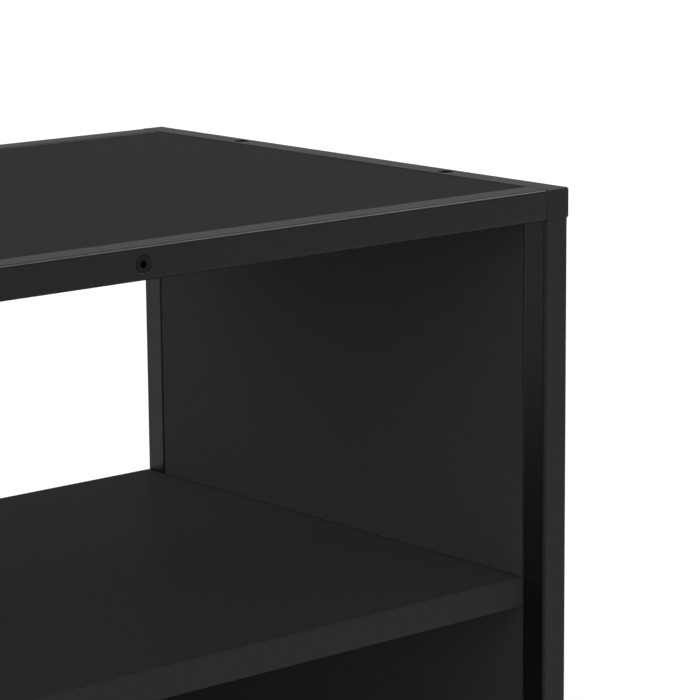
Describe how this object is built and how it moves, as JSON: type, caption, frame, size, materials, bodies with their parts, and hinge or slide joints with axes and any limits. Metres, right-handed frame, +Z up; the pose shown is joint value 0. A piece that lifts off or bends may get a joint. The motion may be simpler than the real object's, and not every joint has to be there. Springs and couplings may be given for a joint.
{
  "type": "tv stand",
  "caption": "Low open television stand: square steel tube frames with boards set in them, a middle shelf, a closed lower back and levelling feet.",
  "frame": {"origin": "on the floor, below the middle of the stand", "axes": "+X to the right along the width, +Y to the back, +Z up; the open front faces -Y"},
  "size_m": [0.8, 0.32, 0.41],
  "materials": {
    "powder_coated_steel": "black powder coat, semi-gloss, fine texture",
    "black_board": "engineered wood with a black melamine face, satin",
    "black_edging": "black edging strip, satin",
    "black_plastic": "moulded black plastic, satin",
    "black_fastener": "black zinc plated steel",
    "zinc_steel": "bright zinc plated",
    "beech": "plain fluted beech"
  },
  "bodies": {
    "stand": {"back_panel_dowels": "beech", "back_panel_screws": "black_fastener", "bottom_front_left_cap": "black_plastic", "bottom_front_rail": "powder_coated_steel", "bottom_front_right_cap": "black_plastic", "bottom_left_rail": "powder_coated_steel", "bottom_panel": "black_board", "bottom_panel_screws": "black_fastener", "bottom_rear_left_cap": "black_plastic", "bottom_rear_rail": "powder_coated_steel", "bottom_rear_right_cap": "black_plastic", "bottom_right_rail": "powder_coated_steel", "foot_inserts": "zinc_steel", "front_left_post": "powder_coated_steel", "front_right_post": "powder_coated_steel", "left_side_panel": "black_board", "lower_back_panel": "black_board", "middle_shelf": "black_board", "rail_bolts": "black_fastener", "rail_end_plugs": "zinc_steel", "rear_left_post": "powder_coated_steel", "rear_right_post": "powder_coated_steel", "right_side_panel": "black_board", "shelf_cam_bolts": "zinc_steel", "shelf_cam_locks": "zinc_steel", "shelf_dowels": "beech", "shelf_front_edging": "black_edging", "shelf_rear_edging": "black_edging", "side_panel_bottom_screws": "black_fastener", "side_panel_top_screws": "black_fastener", "top_front_left_cap": "black_plastic", "top_front_rail": "powder_coated_steel", "top_front_right_cap": "black_plastic", "top_left_rail": "powder_coated_steel", "top_panel": "black_board", "top_panel_screws": "black_fastener", "top_rear_left_cap": "black_plastic", "top_rear_rail": "powder_coated_steel", "top_rear_right_cap": "black_plastic", "top_right_rail": "powder_coated_steel"},
    "front_left_foot": {"front_left_foot_pad": "black_plastic", "front_left_foot_stud": "zinc_steel"},
    "front_right_foot": {"front_right_foot_pad": "black_plastic", "front_right_foot_stud": "zinc_steel"},
    "rear_left_foot": {"rear_left_foot_pad": "black_plastic", "rear_left_foot_stud": "zinc_steel"},
    "rear_right_foot": {"rear_right_foot_pad": "black_plastic", "rear_right_foot_stud": "zinc_steel"}
  },
  "joints": [
    {"name": "front_left_foot_screw", "type": "slide", "parent": "stand", "child": "front_left_foot", "axis": [0, 0, -1], "range_m": [0, 0.008]},
    {"name": "front_right_foot_screw", "type": "slide", "parent": "stand", "child": "front_right_foot", "axis": [0, 0, -1], "range_m": [0, 0.008]},
    {"name": "rear_left_foot_screw", "type": "slide", "parent": "stand", "child": "rear_left_foot", "axis": [0, 0, -1], "range_m": [0, 0.008]},
    {"name": "rear_right_foot_screw", "type": "slide", "parent": "stand", "child": "rear_right_foot", "axis": [0, 0, -1], "range_m": [0, 0.008]}
  ]
}
